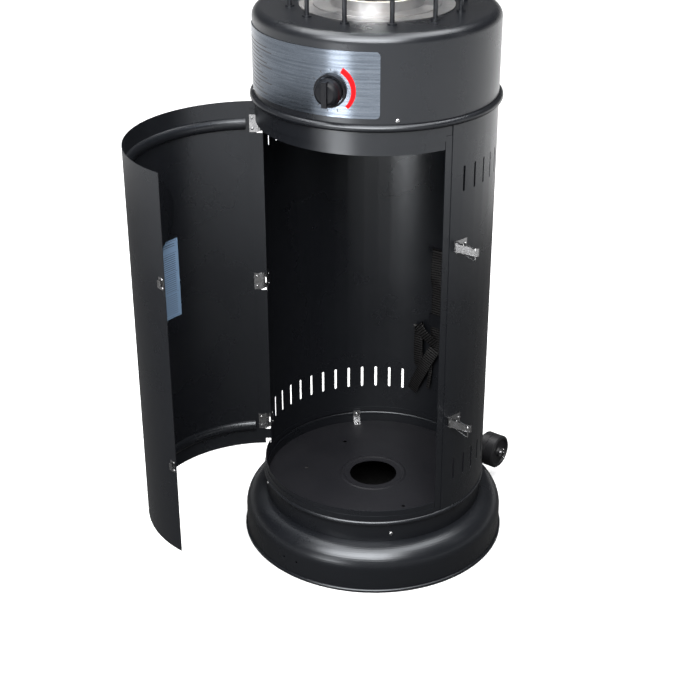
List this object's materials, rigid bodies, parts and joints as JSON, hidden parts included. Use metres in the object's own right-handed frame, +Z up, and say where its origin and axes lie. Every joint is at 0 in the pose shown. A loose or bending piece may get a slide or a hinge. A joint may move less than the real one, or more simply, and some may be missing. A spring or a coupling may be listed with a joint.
{
  "type": "flame patio heater",
  "caption": "Outdoor gas heater: round steel cabinet with an open hinged door for the gas bottle, control panel and knob, flame in a guarded glass tube under a cap, base with rear wheels.",
  "frame": {"origin": "on the ground, on the upright axis of the round cabinet, at the middle of the base rim", "axes": "+Z up; the door opening and control panel face -Y; the wheels are at the back, +Y; +X is the latch side"},
  "size_m": [0.5459, 0.7922, 1.7887],
  "materials": {
    "black_steel": "black fine-textured powder coat",
    "deck_steel": "black satin heat-proof paint",
    "brushed": "brushed along the length",
    "zinc": "bright zinc plate",
    "raw_steel": "plain sheet steel",
    "brass": "machined brass",
    "glass": "clear heat-proof glass",
    "seal": "woven heat-proof seal",
    "black_plastic": "fine matt moulding",
    "wheel_plastic": "satin black moulding",
    "ceramic": "glazed ceramic",
    "plate_print": "printed film",
    "webbing": "ribbed webbing"
  },
  "bodies": {
    "heater": {"base_dome": "black_steel", "floor_plate": "deck_steel", "base_collar": "black_steel", "cabinet_shell": "black_steel", "front_header": "black_steel", "front_sill": "black_steel", "top_ring": "black_steel", "casing_screws": "zinc", "floor_clip": "zinc", "body_hinge_leaves": "zinc", "hinge_pins": "zinc", "shell_rivets": "zinc", "latch_bases": "zinc", "strap_bracket": "black_steel", "strap_buckle": "black_plastic", "retaining_strap": "webbing", "control_housing": "black_steel", "control_panel": "brushed", "knob_bezel": "black_plastic", "valve_bracket": "raw_steel", "gas_valve": "brass", "gas_inlet": "brass", "tilt_switch": "black_plastic", "burner_pipe": "raw_steel", "burner_tray": "raw_steel", "burner_head": "raw_steel", "pilot_bracket": "raw_steel", "spark_electrode": "ceramic", "thermocouple": "brass", "tube_base_ring": "raw_steel", "tube_seals": "seal", "glass_tube": "glass", "tube_top_ring": "raw_steel", "guard_rods": "deck_steel", "guard_rings": "deck_steel", "top_plate": "deck_steel", "cap_spacers": "zinc", "reflector_cap": "deck_steel", "cap_nuts": "zinc", "wheel_bracket": "black_steel", "bracket_bolts": "zinc", "wheel_axle": "zinc", "axle_washers": "zinc", "split_pins": "zinc"},
    "left_wheel": {"left_wheel": "wheel_plastic"},
    "right_wheel": {"right_wheel": "wheel_plastic"},
    "valve_rotor": {"valve_plug": "brass"},
    "knob": {"control_knob": "black_plastic", "valve_spindle": "zinc"},
    "door": {"door_panel": "black_steel", "door_stiffeners": "black_steel", "door_dish": "black_steel", "door_plate": "plate_print", "latch_keepers": "zinc", "door_hinge_leaves": "zinc", "door_rivets": "zinc"},
    "upper_lever": {"upper_latch_lever": "zinc"},
    "lower_lever": {"lower_latch_lever": "zinc"},
    "upper_bail": {"upper_latch_bail": "zinc"},
    "lower_bail": {"lower_latch_bail": "zinc"}
  },
  "joints": [
    {"name": "door_hinge", "type": "hinge", "parent": "heater", "child": "door", "pos_m": [-0.20394, -0.08116, 0.5], "axis": [0, 0, 1], "range_deg": [-50, 74.5]},
    {"name": "left_wheel_spin", "type": "hinge", "parent": "heater", "child": "left_wheel", "pos_m": [-0.108, 0.281, 0.065], "axis": [1, 0, 0], "continuous": true},
    {"name": "right_wheel_spin", "type": "hinge", "parent": "heater", "child": "right_wheel", "pos_m": [0.108, 0.281, 0.065], "axis": [1, 0, 0], "continuous": true},
    {"name": "knob_turn", "type": "hinge", "parent": "heater", "child": "valve_rotor", "pos_m": [0.0511, -0.183, 0.953], "axis": [0.2689, -0.9632, 0], "range_deg": [0, 180]},
    {"name": "knob_push", "type": "slide", "parent": "valve_rotor", "child": "knob", "axis": [-0.2689, 0.9632, 0], "range_m": [0, 0.004], "stiffness_N_per_m": 1500, "springref_m": -0.002},
    {"name": "upper_latch_lever", "type": "hinge", "parent": "heater", "child": "upper_lever", "pos_m": [0.21368, -0.05623, 0.667], "axis": [0, 0, 1], "range_deg": [-20, 68]},
    {"name": "upper_latch_bail", "type": "hinge", "parent": "upper_lever", "child": "upper_bail", "pos_m": [0.22562, -0.05508, 0.667], "axis": [0, 0, 1], "range_deg": [-75, 25]},
    {"name": "lower_latch_lever", "type": "hinge", "parent": "heater", "child": "lower_lever", "pos_m": [0.21368, -0.05623, 0.32], "axis": [0, 0, 1], "range_deg": [-20, 68]},
    {"name": "lower_latch_bail", "type": "hinge", "parent": "lower_lever", "child": "lower_bail", "pos_m": [0.22562, -0.05508, 0.32], "axis": [0, 0, 1], "range_deg": [-75, 25]}
  ]
}
